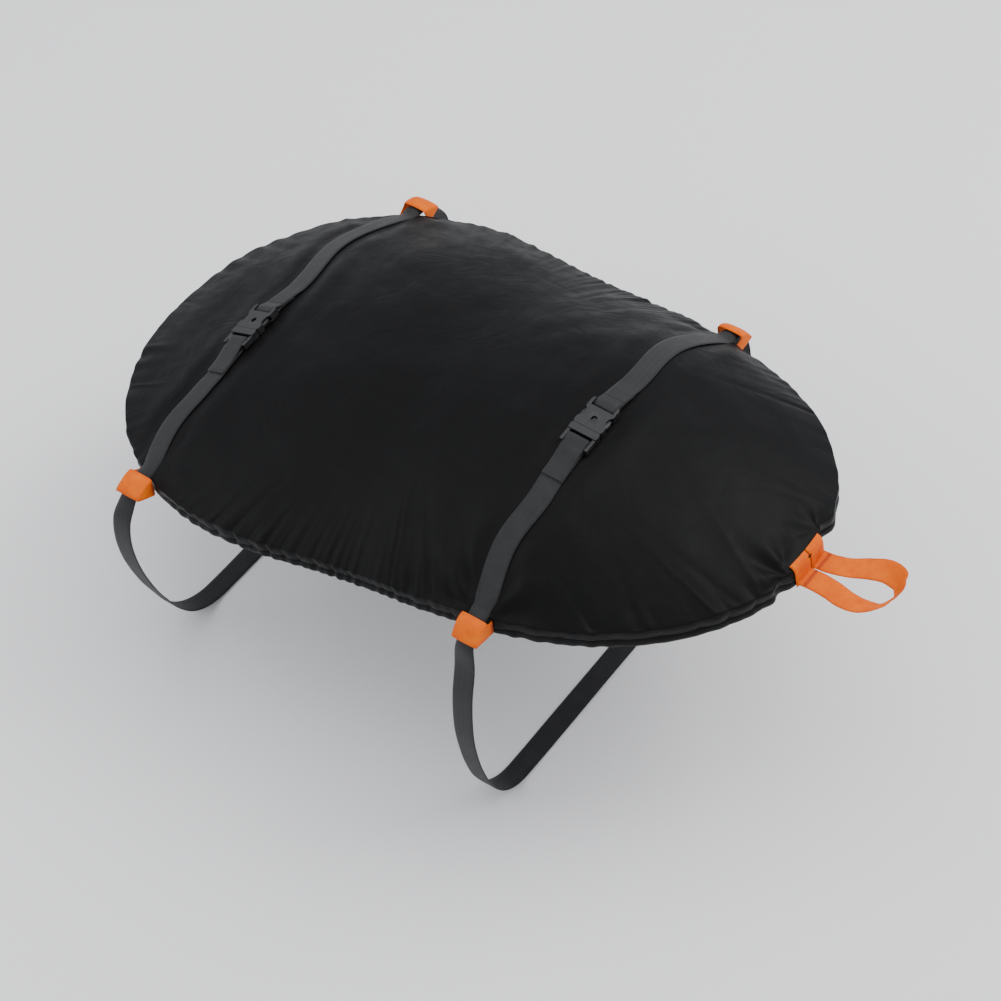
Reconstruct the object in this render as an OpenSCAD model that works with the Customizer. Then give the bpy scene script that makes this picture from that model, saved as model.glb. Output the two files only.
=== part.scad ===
// Elastic-hem cockpit cover for a touring kayak, in its fitted shape.
// A domed fabric cover with a gathered hem and an elastic cord, four webbing
// keeper loops, a webbing pull loop at the bow end, and two webbing straps that
// close round the hull, each with a side release buckle on top of the cover.
// Millimetres. +X to the bow, +Y to port, +Z up. The origin is the centre of the
// coaming rim that the cover is stretched over; the rim plane is pitched bow up.

/* [Cover] */
// Mean radius of the cover outline
outline_mean = 327; // [300:1:360]
// How much longer than wide the outline is, as a radius wave
outline_long = 88; // [60:1:100]
// Crown of the dome over the after part of the cover
dome_aft = 80; // [40:1:100]
// Extra crown over the forward part
dome_fore_extra = 28; // [0:1:40]
// Fabric thickness
fabric_t = 1.2; // [0.6:0.1:2]
// Depth of the turned down skirt above the hem
skirt_h = 13; // [12:1:20]
// Elastic cord diameter
cord_d = 5.6; // [4:0.2:6]
// Bow-up pitch of the coaming rim, degrees
rim_pitch = 6.1; // [0:0.1:10]

/* [Webbing] */
// Strap webbing width
web_w = 25; // [20:1:30]
// Strap webbing thickness
web_t = 1.6; // [1.2:0.1:2.2]
// Length of the keeper loops along the strap
keeper_len = 27; // [20:1:32]
// Webbing thickness of the keeper and pull loops
loop_t = 1.5; // [1.2:0.1:2]
// Reach of the pull loop forward of the hem
pull_reach = 104; // [98:1:130]

/* [Straps] */
// Station of the forward strap
front_x = 178; // [160:1:200]
// Station of the after strap
rear_x = -261; // [-280:1:-240]
// Centre of the forward buckle across the cover
front_buckle_y = -30; // [-40:1:40]
// Centre of the after buckle across the cover
rear_buckle_y = -48; // [-80:1:0]

/* [Buckle] */
// Buckle width
bk_w = 34; // [32:1:38]
// Buckle height
bk_h = 8.6; // [8:0.1:10]

/* [Hidden] */
black = [0.055, 0.055, 0.06];
grey = [0.12, 0.12, 0.125];
orange = [0.93, 0.42, 0.09];
plastic = [0.03, 0.03, 0.032];

sp = sin(rim_pitch);
cp = cos(rim_pitch);
turns = 80;          // points round the outline
dome_pow = 2.15;     // fullness of the dome
lift = 1.5;          // strap centreline above the fabric

// ---- outline and dome, in the rim's own frame ----
function outline(a) = outline_mean - 10*cos(a) + outline_long*cos(2*a) + 12*cos(3*a) + 3*cos(4*a) + 4*cos(5*a);
function ease(t) = let (u = min(1, max(0, t))) u*u*(3 - 2*u);
function crown(x) = dome_aft + dome_fore_extra*ease((x + 40)/260);
function dome(x, y) = crown(x)*(1 - pow(min(1, norm([x, y])/outline(atan2(y, x))), dome_pow));
// half width of the outline at station x, by halving the angle
function half_w(x, lo = 1, hi = 179, n = 24) = n == 0 ? outline(lo)*sin(lo)
    : let (m = (lo + hi)/2) outline(m)*cos(m) > x ? half_w(x, m, hi, n - 1) : half_w(x, lo, m, n - 1);

// ---- rim frame to level frame and back ----
function level(p) = [p[0]*cp - p[2]*sp, p[1], p[0]*sp + p[2]*cp];
// height of the fabric over a point of the level frame, by repeated substitution
function top_z(x, y, n = 5, z = 60) = n == 0 ? z
    : top_z(x, y, n - 1, (dome(x*cp + z*sp, y) + x*sp)/cp);
// rim edge of the cover at a level station
function edge_y(x) = half_w(x*cp);
function edge_z(x) = x*sp;

// ---- general lofts ----
// rings of equal length, joined in order; capped by a fan to a point at each end, or closed on themselves
module fan_loft(rings, first, last) {
    m = len(rings[0]);
    n = len(rings);
    pts = concat([for (r = rings) for (p = r) p], [first, last]);
    polyhedron(points = pts, convexity = 10, faces = concat(
        [for (j = [0:m - 1]) [n*m, (j + 1)%m, j]],
        [for (i = [0:n - 2]) for (j = [0:m - 1]) [i*m + j, i*m + (j + 1)%m, (i + 1)*m + j]],
        [for (i = [0:n - 2]) for (j = [0:m - 1]) [i*m + (j + 1)%m, (i + 1)*m + (j + 1)%m, (i + 1)*m + j]],
        [for (j = [0:m - 1]) [n*m + 1, (n - 1)*m + j, (n - 1)*m + (j + 1)%m]]));
}
module ring_loft(rings) {
    m = len(rings[0]);
    n = len(rings);
    polyhedron(points = [for (r = rings) for (p = r) p], convexity = 10, faces = concat(
        [for (i = [0:n - 1]) for (j = [0:m - 1]) [i*m + j, i*m + (j + 1)%m, ((i + 1)%n)*m + j]],
        [for (i = [0:n - 1]) for (j = [0:m - 1]) [i*m + (j + 1)%m, ((i + 1)%n)*m + (j + 1)%m, ((i + 1)%n)*m + j]]));
}
// sections of four points, capped flat at both ends
module strip_loft(rings) {
    n = len(rings);
    polyhedron(points = [for (r = rings) for (p = r) p], convexity = 10, faces = concat(
        [[0, 1, 2], [0, 2, 3], [4*n - 4, 4*n - 2, 4*n - 3], [4*n - 4, 4*n - 1, 4*n - 2]],
        [for (i = [0:n - 2]) for (j = [0:3]) [i*4 + j, (i + 1)*4 + j, i*4 + (j + 1)%4]],
        [for (i = [0:n - 2]) for (j = [0:3]) [i*4 + (j + 1)%4, (i + 1)*4 + j, (i + 1)*4 + (j + 1)%4]]));
}
// smooth curve through hand set points
function bend_at(a, b, c, d, t) = 0.5*((2*b) + (c - a)*t + (2*a - 5*b + 4*c - d)*t*t + (3*b - a - 3*c + d)*t*t*t);
function curve(p, k) = let (n = len(p)) concat([for (i = [0:n - 2]) for (s = [0:k - 1])
    bend_at(p[max(0, i - 1)], p[i], p[i + 1], p[min(n - 1, i + 2)], s/k)], [p[n - 1]]);
function unit(v) = v/max(norm(v), 0.000001);
// left-hand normal of a plane route at point i
function flat2(p) = [p[0], p[1]];
function side(p, i) = let (t = unit(flat2(p[min(len(p) - 1, i + 1)]) - flat2(p[max(0, i - 1)]))) [-t[1], t[0]];

// ---- cover ----
function cover_ring(rho, dr, dz) = [for (j = [0:turns - 1]) let (a = 360*j/turns, r = outline(a))
    level([rho*(r + dr)*cos(a), rho*(r + dr)*sin(a), dome(rho*r*cos(a), rho*r*sin(a)) + dz])];
function wall_ring(dr, z) = [for (j = [0:turns - 1]) let (a = 360*j/turns, r = outline(a))
    level([(r + dr)*cos(a), (r + dr)*sin(a), z])];

module cover_panel() {
    color(black) fan_loft(concat(
        [for (k = [1:10]) cover_ring(k/10, 0, 0)],
        [wall_ring(0, -skirt_h/2), wall_ring(-1, -skirt_h)],
        [wall_ring(-1 - fabric_t, -skirt_h), wall_ring(-fabric_t, -skirt_h/2)],
        [for (k = [10:-1:1]) cover_ring(k/10, -fabric_t, -fabric_t*1.2)]),
        level([0, 0, dome(0, 0)]), level([0, 0, dome(0, 0) - fabric_t*1.2]));
}
// hem section: [offset from the outline, depth below the skirt's lower edge]
hem = [[-1, 0.05], [-0.2, 3], [-0.6, 8], [-3, 11.5], [-6.5, 12], [-9.5, 9.5], [-10.5, 6], [-10, 2.5], [-8, 1.2],
       [-7.6, 2.2], [-8.9, 4], [-9.2, 6.3], [-8.4, 8.8], [-6.2, 10.7], [-3.6, 10.3], [-2, 7.5], [-1.7, 3.2], [-2.6, 0.05]];
module hem_sleeve() {
    color(black) ring_loft([for (j = [0:turns - 1]) let (a = 360*j/turns, r = outline(a))
        [for (q = hem) level([(r + q[0])*cos(a), (r + q[0])*sin(a), -skirt_h - q[1]])]]);
}
module shock_cord() {
    color(grey) ring_loft([for (j = [0:turns - 1]) let (a = 360*j/turns, r = outline(a) - 5.5)
        [for (b = [0:30:330]) level([(r + cord_d/2*cos(b))*cos(a), (r + cord_d/2*cos(b))*sin(a), -skirt_h - 6.3 - cord_d/2*sin(b)])]]);
}

// ---- straps ----
// starboard route outside the rim, [y, z] from the rim's edge down to the keel, hand set
function front_route() = let (e = edge_y(front_x), z = edge_z(front_x))
    [[-e - 3, z + 4], [-e - 14, z], [-e - 22, z - 9], [-e - 29, z - 22], [-255, -34], [-264, -76], [-268, -127], [-264, -173],
     [-257, -208], [-247, -240], [-231, -267], [-206, -284], [-170, floor_z + web_t/2], [-80, floor_z + web_t/2], [0, floor_z + web_t/2]];
function rear_route() = let (e = edge_y(rear_x), z = edge_z(rear_x))
    [[-e - 3, z + 4], [-e - 15, z + 2], [-e - 27, z - 4], [-e - 38, z - 16], [-283, -60], [-287, -92], [-283, -132], [-271, -178],
     [-258, -212], [-243, -245], [-222, -270], [-194, -284], [-160, floor_z + web_t/2], [-80, floor_z + web_t/2], [0, floor_z + web_t/2]];
floor_z = -288;
// centre line of the strap over the cover, from y0 to y1, for the webbing edge at station x, bowed aft by b at mid length
function over(x, y0, y1, n, b) = [for (i = [0:n]) let (y = y0 + (y1 - y0)*i/n, dx = -b*pow(sin(180*i/n), 2)) [y, top_z(x + dx, y) + lift, dx]];
function mirrored(p) = [for (i = [len(p) - 1:-1:0]) [-p[i][0], p[i][1]]];
// webbing strip on two edge routes in the y z plane, one at each side of station x
module webbing(x, pa, pb, t = web_t, w = web_w) {
    strip_loft([for (i = [0:len(pa) - 1]) let (na = side(pa, i)*t/2, nb = side(pb, i)*t/2)
        [[x - w/2 + aft(pa[i]), pa[i][0] - na[0], pa[i][1] - na[1]], [x - w/2 + aft(pa[i]), pa[i][0] + na[0], pa[i][1] + na[1]],
         [x + w/2 + aft(pb[i]), pb[i][0] + nb[0], pb[i][1] + nb[1]], [x + w/2 + aft(pb[i]), pb[i][0] - nb[0], pb[i][1] - nb[1]]]]);
}
// shift along x of a route point that carries one
function aft(p) = len(p) > 2 ? p[2] : 0;
// length along a plane route up to point i
function along(p, i) = i == 0 ? 0 : along(p, i - 1) + norm(p[i] - p[i - 1]);
split_s = 18;   // where the run over the cover meets the rest of the strap, inside the keeper
// whole length outside and below: starboard keeper, round the keel, port edge, then over the cover to the socket
module strap_main(x, route, yb, b) {
    hull = curve(route, 4);
    n = len(hull) - 1;
    from = [for (i = [0:n]) if (along(hull, i) > split_s) hull[i]];
    under = concat(from, mirrored([for (i = [0:n - 1]) hull[i]]));
    color(grey) webbing(x,
        concat(under, over(x - web_w/2, edge_y(x) - 6, yb + 80, 12, b), lead(x, yb, -1, 1)),
        concat(under, over(x + web_w/2, edge_y(x) - 6, yb + 80, 12, b), lead(x, yb, 1, 1)));
}
// run over the cover from the starboard keeper to the plug
module strap_run(x, route, yb, b) {
    hull = curve(route, 4);
    near = [for (i = [len(hull) - 1:-1:0]) if (along(hull, i) <= split_s) hull[i]];
    color(grey) webbing(x,
        concat(near, over(x - web_w/2, -edge_y(x) + 6, yb - 80, 12, b), lead(x, yb, -1, -1)),
        concat(near, over(x + web_w/2, -edge_y(x) + 6, yb - 80, 12, b), lead(x, yb, 1, -1)));
}
// straight lead from the fabric up to the buckle, for one edge of the webbing; e is the socket or plug end
function lead(x, yb, s, e) = [for (v = e > 0 ? [66, 57, 48.2] : [66, 55, 44.2])
    let (p = on_buckle(x, yb, [s*web_w/2, e*v, lead_w(x, yb, e, v)])) [p[1], p[2], p[0] - x - s*web_w/2]];
// webbing centre in the buckle frame at distance v from the mouth
function far_w(x, yb, e) = ([x, yb + e*80, top_z(x, yb + e*80) + lift] - bk_o(x, yb))*bk_ez(x, yb);
function lead_w(x, yb, e, v) = e > 0 ? 2 + (far_w(x, yb, e) - 2)*(v - 48)/32
    : let (t = (v - 24)/56) 0.3 + (far_w(x, yb, e) - 0.3)*t + 3*t*(1 - t);

// ---- buckle frames ----
function slope_x(x, y) = (top_z(x + 12, y) - top_z(x - 12, y))/24;
function slope_y(x, y) = (top_z(x, y + 28) - top_z(x, y - 28))/56;
function bk_ex(x, y) = unit([1, 0, slope_x(x, y)]);
function bk_ez(x, y) = unit(cross(bk_ex(x, y), unit([0, 1, slope_y(x, y)])));
function bk_ey(x, y) = cross(bk_ez(x, y), bk_ex(x, y));
function bk_o(x, y) = [x, y, top_z(x, y)] + 0.9*bk_ez(x, y);
function on_buckle(x, y, q) = bk_o(x, y) + q[0]*bk_ex(x, y) + q[1]*bk_ey(x, y) + q[2]*bk_ez(x, y);
module on_cover(x, y) {
    o = bk_o(x, y); a = bk_ex(x, y); b = bk_ey(x, y); c = bk_ez(x, y);
    multmatrix([[a[0], b[0], c[0], o[0]], [a[1], b[1], c[1], o[1]], [a[2], b[2], c[2], o[2]], [0, 0, 0, 1]]) children();
}

// ---- buckle parts, local frame: x across, y along the strap from the mouth to the socket, z up ----
hw = bk_w/2;
module slab(pts, z0, z1) { translate([0, 0, z0]) linear_extrude(z1 - z0) polygon(pts); }
module block(x0, x1, y0, y1, z0, z1) { translate([x0, y0, z0]) cube([x1 - x0, y1 - y0, z1 - z0]); }
module bar(y, z, r, l) { translate([-l/2, y, z]) rotate([0, 90, 0]) cylinder(r = r, h = l, $fn = 40); }

module socket() {
    color(plastic) difference() {
        union() {
            // top and bottom plates with waisted sides, joined by the mouth cheeks and the rear wall
            slab([[-hw + 1.4, 0.4], [hw - 1.4, 0.4], [hw, 2.4], [hw, 8.6], [hw - 3.4, 11.4], [hw - 4.4, 15.5], [hw - 3.4, 20], [hw - 0.6, 23.4],
                  [hw - 0.6, 34], [hw - 2.4, 36.6], [-hw + 2.4, 36.6], [-hw + 0.6, 34], [-hw + 0.6, 23.4], [-hw + 3.4, 20],
                  [-hw + 4.4, 15.5], [-hw + 3.4, 11.4], [-hw, 8.6], [-hw, 2.4]], 0, bk_h);
        }
        // cavity open at the mouth and through both side windows
        block(-hw + 3.4, hw - 3.4, -1, 24, 1.7, bk_h - 1.7);
        block(-hw - 1, hw + 1, 8.9, 24, 1.7, bk_h - 1.7);
        // webbing slot and the recess that leaves the bar below the top face
        block(-13.2, 13.2, 27, 31.2, -1, bk_h + 1);
        block(-13.2, 13.2, 31.1, 37, 5.6, bk_h + 1);
        block(-13.2, 13.2, 31.1, 37, -1, 1.5);
        // dished top face
        translate([0, 13.5, bk_h + 44.6]) rotate([0, 90, 0]) cylinder(r = 45, h = 11, center = true, $fn = 120);
        // round sight hole
        translate([0, 13.5, bk_h - 3]) cylinder(r = 3.2, h = 6, $fn = 48);
    }
}
module plug() {
    color(plastic) difference() {
        union() {
            // shoulder block
            slab([[-hw + 0.4, -8.6], [hw - 0.4, -8.6], [hw, -6], [hw, -2], [hw - 1.4, 0], [-hw + 1.4, 0], [-hw, -2], [-hw, -6]], 0, bk_h);
            // side rails of the ladder lock
            block(-hw + 0.4, -13.2, -24, -8, 0.6, bk_h - 1.4);
            block(13.2, hw - 0.4, -24, -8, 0.6, bk_h - 1.4);
            // locking bar and end bar
            bar(-14.6, 4.6, 1.7, 27);
            bar(-22.4, 2.7, 1.5, 27);
            // centre guide
            slab([[-2.2, -1], [2.2, -1], [2.2, 19], [1.2, 21], [-1.2, 21], [-2.2, 19]], 2.5, bk_h - 2.5);
        }
        // pockets where the prongs are rooted
        slab([[6.4, -7], [12.6, -7], [13, 1], [6, 1]], 1.9, bk_h - 1.9);
        mirror([1, 0, 0]) slab([[6.4, -7], [12.6, -7], [13, 1], [6, 1]], 1.9, bk_h - 1.9);
    }
}
// prong on the +x side; hook shoulder behind the cheek, thumb pad flush with the buckle side
module prong() {
    translate([9.5, -5, 2.3]) cylinder(r = 1.5, h = bk_h - 4.6, $fn = 40);
    slab([[8, -5], [11, -5], [11.6, 2], [12.2, 8.9], [13, 9.25], [hw - 0.9, 9.4], [hw - 0.2, 11.5], [hw - 0.2, 17], [hw - 1.6, 20.5],
          [12.2, 22.6], [10.6, 22.6], [10, 20.4], [9.4, 10]], 2.3, bk_h - 2.3);
}
// webbing end folded round the socket bar and sewn under itself
module fold(x, y) {
    m = lead_w(x, y, 1, 66);
    color(grey) rotate([90, 0, 90]) translate([0, 0, -web_w/2]) linear_extrude(web_w)
        polygon([[48, 2.8], [37.5, 7.2], [31, 7.3], [29.4, 6.5], [28.7, 5], [28.7, 1.8], [29.3, 0.5], [30.7, -0.3], [37, -0.3],
                 [48, -0.45], [66, m - 2.5], [66, m - 0.95], [48, 1.05], [37.2, 1.35], [31.1, 1.35], [30.5, 1.9], [30.5, 5],
                 [31.1, 5.75], [36.8, 5.75], [48, 1.2]]);
}
// webbing in under both bars, round the locking bar and back over the end bar as the free tail
module tail(x, y) {
    b = lead_w(x, y, -1, 44);
    c = lead_w(x, y, -1, 62);
    color(grey) rotate([90, 0, 90]) translate([0, 0, -web_w/2]) linear_extrude(web_w)
        polygon([[-44, b - 0.8], [-24, -0.5], [-14.5, -0.5], [-11.6, 0.6], [-10.4, 3], [-10.2, 5.2], [-11.2, 7.2], [-13, 8.2],
                 [-15, 8.4], [-19, 7.6], [-24, 6.4], [-30, 5.3], [-44, b + 2.6], [-62, c + 2.6], [-62, c + 1.1], [-44, b + 1.1],
                 [-30, 3.7], [-24, 4.8], [-19, 6], [-15, 6.8], [-13.4, 6.6], [-12.2, 5.6], [-11.9, 4.4], [-12.2, 2.4], [-13.2, 1.3],
                 [-15, 1.1], [-24, 1.1], [-44, b + 0.8]]);
}

// ---- keeper loops: a strip of webbing sewn to the hem by both ends, the strap passing inside ----
// outer line follows the strap route; legs run back to the hem at x +- keep_w/2
keep_w = 31;
module keeper(x, route) {
    hull = curve(route, 4);
    near = [for (i = [0:len(hull) - 1]) if (along(hull, i) > 3 && along(hull, i) < 3 + keeper_len) hull[i]];
    n = len(near) - 1;
    inner = [for (i = [0:n]) near[i] - side(near, i)*(web_t/2 + 0.5)];
    outer = [for (i = [0:n]) near[i] - side(near, i)*(web_t/2 + 0.5 + loop_t)];
    color(orange) {
        translate([x - keep_w/2, 0, 0]) yz_prism(concat(inner, [for (i = [n:-1:0]) outer[i]]), keep_w);
        leg(x - keep_w/2, x - keep_w/2, outer, inner);
        leg(x + keep_w/2 - loop_t, x + keep_w/2, outer, inner);
    }
}
module yz_prism(pts, w) { rotate([90, 0, 90]) linear_extrude(w) polygon(pts); }
module leg(x, xe, outer, inner) {
    e = edge_y(xe); z = xe*sp; n = len(outer) - 1;
    translate([x, 0, 0]) yz_prism(concat(
        [[-e - 1.2, min(outer[0][1], z - 1)]], [for (q = outer) q],
        [[inner[n][0] + 5, outer[n][1] + 1.5], [-e - 0.6 , z - 23], [-e + 2.2, z - 23], [-e + 2.2, z - 15.4], [-e - 1.2, z - 14]]), loop_t);
}

// ---- pull loop ----
pull_x = 426.4;      // hinge line just forward of the hem, rim frame
pull_z = -18;
// plan of the loop from its base, [forward, across, bank in degrees, height]
pull = [[-0.75, -14, 0, 0], [14, -14.5, 0, 0], [32, -17.5, 2, 0.3], [50, -23, 5, 2], [69, -25, 15, 5], [86, -18.5, 38, 8], [pull_reach - 11, -7, 56, 10], [pull_reach - 8, 2, 60, 10.5],
        [pull_reach - 12, 11, 58, 10], [86, 20, 46, 8], [69, 26, 26, 5], [50, 23, 10, 2], [32, 16.5, 2, 0.3], [14, 12.6, 0, 0], [-0.75, 12, 0, 0]];
module pull_loop() {
    c = curve(pull, 4);
    n = len(c) - 1;
    color(orange) strip_loft([for (i = [0:n]) let (
        t = unit([for (k = [0, 1]) c[min(n, i + 1)][k] - c[max(0, i - 1)][k]]),
        out = [t[1], -t[0]],
        b = c[i][2],
        w = [out[0]*cos(b), out[1]*cos(b), sin(b)]*12.5,
        m = [-out[0]*sin(b), -out[1]*sin(b), cos(b)]*loop_t/2,
        p = [pull_x + c[i][0], c[i][1], pull_z + c[i][3]])
        [level(p - w - m), level(p - w + m), level(p + w + m), level(p + w - m)]]);
}
module pull_loop_tabs() {
    // sewn ends of the loop: up the hem and the skirt to the rim
    color(orange) for (s = [-14, 12]) rotate([0, -rim_pitch, 0]) translate([0, s + 12.5, 0]) rotate([90, 0, 0]) linear_extrude(25)
        polygon(concat([[pull_x - 1.4, pull_z - 5.6], [pull_x - 1.4, -5], [pull_x - 2.2, -0.5]],
            [for (d = [3.5, 6]) [pull_x - 2.4 - d, dome(pull_x - 2.4 - d, 0) + 1.7]],
            [for (d = [6, 3.5]) [pull_x - 2.4 - d, dome(pull_x - 2.4 - d, 0) + 0.1]],
            [[pull_x - 3.8, -1.5], [pull_x - 3.8, -5], [pull_x - 4.6, pull_z - 5.6]]));
}

cover_panel();
hem_sleeve();
shock_cord();
keeper(front_x, front_route());  // keeper_front_right
mirror([0, 1, 0]) keeper(front_x, front_route());  // keeper_front_left
keeper(rear_x, rear_route());  // keeper_rear_right
mirror([0, 1, 0]) keeper(rear_x, rear_route());  // keeper_rear_left
pull_loop_tabs();
pull_loop();
strap_main(front_x, front_route(), front_buckle_y, 9);  // front_strap
strap_run(front_x, front_route(), front_buckle_y, 7);  // front_strap_run
on_cover(front_x, front_buckle_y) fold(front_x, front_buckle_y);  // front_strap_fold
on_cover(front_x, front_buckle_y) tail(front_x, front_buckle_y);  // front_strap_tail
on_cover(front_x, front_buckle_y) socket();  // front_socket
on_cover(front_x, front_buckle_y) plug();  // front_plug
color(plastic) on_cover(front_x, front_buckle_y) prong();  // front_prong_fore
color(plastic) on_cover(front_x, front_buckle_y) mirror([1, 0, 0]) prong();  // front_prong_aft
strap_main(rear_x, rear_route(), rear_buckle_y, 18);  // rear_strap
strap_run(rear_x, rear_route(), rear_buckle_y, 6);  // rear_strap_run
on_cover(rear_x, rear_buckle_y) fold(rear_x, rear_buckle_y);  // rear_strap_fold
on_cover(rear_x, rear_buckle_y) tail(rear_x, rear_buckle_y);  // rear_strap_tail
on_cover(rear_x, rear_buckle_y) socket();  // rear_socket
on_cover(rear_x, rear_buckle_y) plug();  // rear_plug
color(plastic) on_cover(rear_x, rear_buckle_y) prong();  // rear_prong_fore
color(plastic) on_cover(rear_x, rear_buckle_y) mirror([1, 0, 0]) prong();  // rear_prong_aft
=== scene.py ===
import bpy, math
import numpy as np
from mathutils import Matrix, Vector


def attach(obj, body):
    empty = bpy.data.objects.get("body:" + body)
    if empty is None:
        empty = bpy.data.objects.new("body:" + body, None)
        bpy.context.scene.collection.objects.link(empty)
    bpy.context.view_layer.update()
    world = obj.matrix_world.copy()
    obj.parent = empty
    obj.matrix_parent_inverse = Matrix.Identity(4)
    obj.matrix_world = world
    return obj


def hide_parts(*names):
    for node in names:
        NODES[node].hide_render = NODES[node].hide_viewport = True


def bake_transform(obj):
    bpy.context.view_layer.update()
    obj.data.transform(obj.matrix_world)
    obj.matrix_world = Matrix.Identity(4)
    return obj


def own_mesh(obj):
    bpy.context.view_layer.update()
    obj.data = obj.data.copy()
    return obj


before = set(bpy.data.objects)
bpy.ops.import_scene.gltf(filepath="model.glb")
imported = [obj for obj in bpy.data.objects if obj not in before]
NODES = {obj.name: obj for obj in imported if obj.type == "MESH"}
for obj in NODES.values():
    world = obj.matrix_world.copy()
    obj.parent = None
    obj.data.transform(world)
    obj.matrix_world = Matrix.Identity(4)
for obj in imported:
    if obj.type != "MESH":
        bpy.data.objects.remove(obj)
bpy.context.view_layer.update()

RNG = np.random.RandomState(7)

# ------------------------------------------------------------------ shape rules shared with the part, in mm
PITCH = math.radians(6.1)
SP, CP = math.sin(PITCH), math.cos(PITCH)
FLOOR = -288.0
WEB_W, WEB_T, LOOP_T, LIFT = 25.0, 1.6, 1.5, 1.5
SKIRT = 13.0
STRAPS = {"front": (178.0, -30.0), "rear": (-261.0, -48.0)}
BOW = {"front": (9.0, 7.0), "rear": (18.0, 6.0)}     # how far the port and starboard runs lie aft at mid length


def outline(a):
    return 327 - 10*np.cos(a) + 88*np.cos(2*a) + 12*np.cos(3*a) + 3*np.cos(4*a) + 4*np.cos(5*a)


def ease(t):
    u = np.clip(t, 0, 1)
    return u*u*(3 - 2*u)


def crown(x):
    return 80 + 28*ease((x + 40)/260)


def dome(x, y):
    rho = np.minimum(1, np.hypot(x, y)/outline(np.arctan2(y, x)))
    return crown(x)*(1 - rho**2.15)


def half_w(x):
    lo, hi = math.radians(1), math.radians(179)
    for _ in range(40):
        m = (lo + hi)/2
        if outline(m)*math.cos(m) > x:
            lo = m
        else:
            hi = m
    return float(outline(lo)*math.sin(lo))


def level(p):
    p = np.asarray(p, float)
    return np.stack([p[..., 0]*CP - p[..., 2]*SP, p[..., 1], p[..., 0]*SP + p[..., 2]*CP], -1)


def rim(p):
    p = np.asarray(p, float)
    return np.stack([p[..., 0]*CP + p[..., 2]*SP, p[..., 1], -p[..., 0]*SP + p[..., 2]*CP], -1)


def top_z(x, y):
    z = 60.0
    for _ in range(6):
        z = (float(dome(x*CP + z*SP, y)) + x*SP)/CP
    return z


def edge_y(x):
    return half_w(x*CP)


def edge_z(x):
    return x*SP


def unit(v):
    v = np.asarray(v, float)
    return v/max(np.linalg.norm(v), 1e-9)


class Buckle:
    def __init__(self, x, y):
        self.x, self.y = x, y
        sx = (top_z(x + 12, y) - top_z(x - 12, y))/24
        sy = (top_z(x, y + 28) - top_z(x, y - 28))/56
        self.ex = unit([1, 0, sx])
        self.ez = unit(np.cross(self.ex, unit([0, 1, sy])))
        self.ey = np.cross(self.ez, self.ex)
        self.o = np.array([x, y, top_z(x, y)]) + 0.9*self.ez

    def at(self, q):
        q = np.asarray(q, float)
        return self.o + q[..., 0:1]*self.ex + q[..., 1:2]*self.ey + q[..., 2:3]*self.ez

    def far_w(self, e):
        p = np.array([self.x, self.y + e*80, top_z(self.x, self.y + e*80) + LIFT])
        return float((p - self.o) @ self.ez)

    def lead_w(self, e, v):
        f = self.far_w(e)
        if e > 0:
            return 2 + (f - 2)*(v - 48)/32
        t = (v - 24)/56
        return 0.3 + (f - 0.3)*t + 3*t*(1 - t)


BK = {k: Buckle(*v) for k, v in STRAPS.items()}


def curve(p, k):
    p = np.asarray(p, float)
    n = len(p)
    out = []
    for i in range(n - 1):
        a, b, c, d = p[max(0, i - 1)], p[i], p[i + 1], p[min(n - 1, i + 2)]
        for s in range(k):
            t = s/k
            out.append(0.5*((2*b) + (c - a)*t + (2*a - 5*b + 4*c - d)*t*t + (3*b - a - 3*c + d)*t**3))
    out.append(p[-1])
    return np.array(out)


def route(which):
    x = STRAPS[which][0]
    e, z, f = edge_y(x), edge_z(x), FLOOR + WEB_T/2
    if which == "front":
        return [[-e - 3, z + 4], [-e - 14, z], [-e - 22, z - 9], [-e - 29, z - 22], [-255, -34], [-264, -76], [-268, -127], [-264, -173],
                [-257, -208], [-247, -240], [-231, -267], [-206, -284], [-170, f], [-80, f], [0, f]]
    return [[-e - 3, z + 4], [-e - 15, z + 2], [-e - 27, z - 4], [-e - 38, z - 16], [-283, -60], [-287, -92], [-283, -132], [-271, -178],
            [-258, -212], [-243, -245], [-222, -270], [-194, -284], [-160, f], [-80, f], [0, f]]


def along(p):
    return np.concatenate([[0], np.cumsum(np.linalg.norm(np.diff(p, axis=0), axis=1))])


# ------------------------------------------------------------------ mesh helpers
def make(name, verts_mm, faces, material, body=None, replaces=(), uv=None, smooth=True):
    me = bpy.data.meshes.new(name)
    me.from_pydata([tuple(v) for v in np.asarray(verts_mm, float)/1000.0], [], [tuple(int(i) for i in f) for f in faces])
    me.validate(clean_customdata=False)
    if uv is not None:
        layer = me.uv_layers.new(name="UVMap")
        idx = np.zeros(len(me.loops), np.int32)
        me.loops.foreach_get("vertex_index", idx)
        layer.data.foreach_set("uv", np.asarray(uv, np.float32)[idx].ravel())
    if smooth:
        me.shade_smooth()
    me.materials.append(material)
    ob = bpy.data.objects.new(name, me)
    bpy.context.scene.collection.objects.link(ob)
    if body:
        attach(ob, body)
    if replaces:
        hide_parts(*replaces)
    return ob


def grid_normals(G):
    du = np.gradient(G, axis=0)
    dv = np.gradient(G, axis=1)
    n = np.cross(du, dv)
    return n/np.maximum(np.linalg.norm(n, axis=2, keepdims=True), 1e-9)


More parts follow.
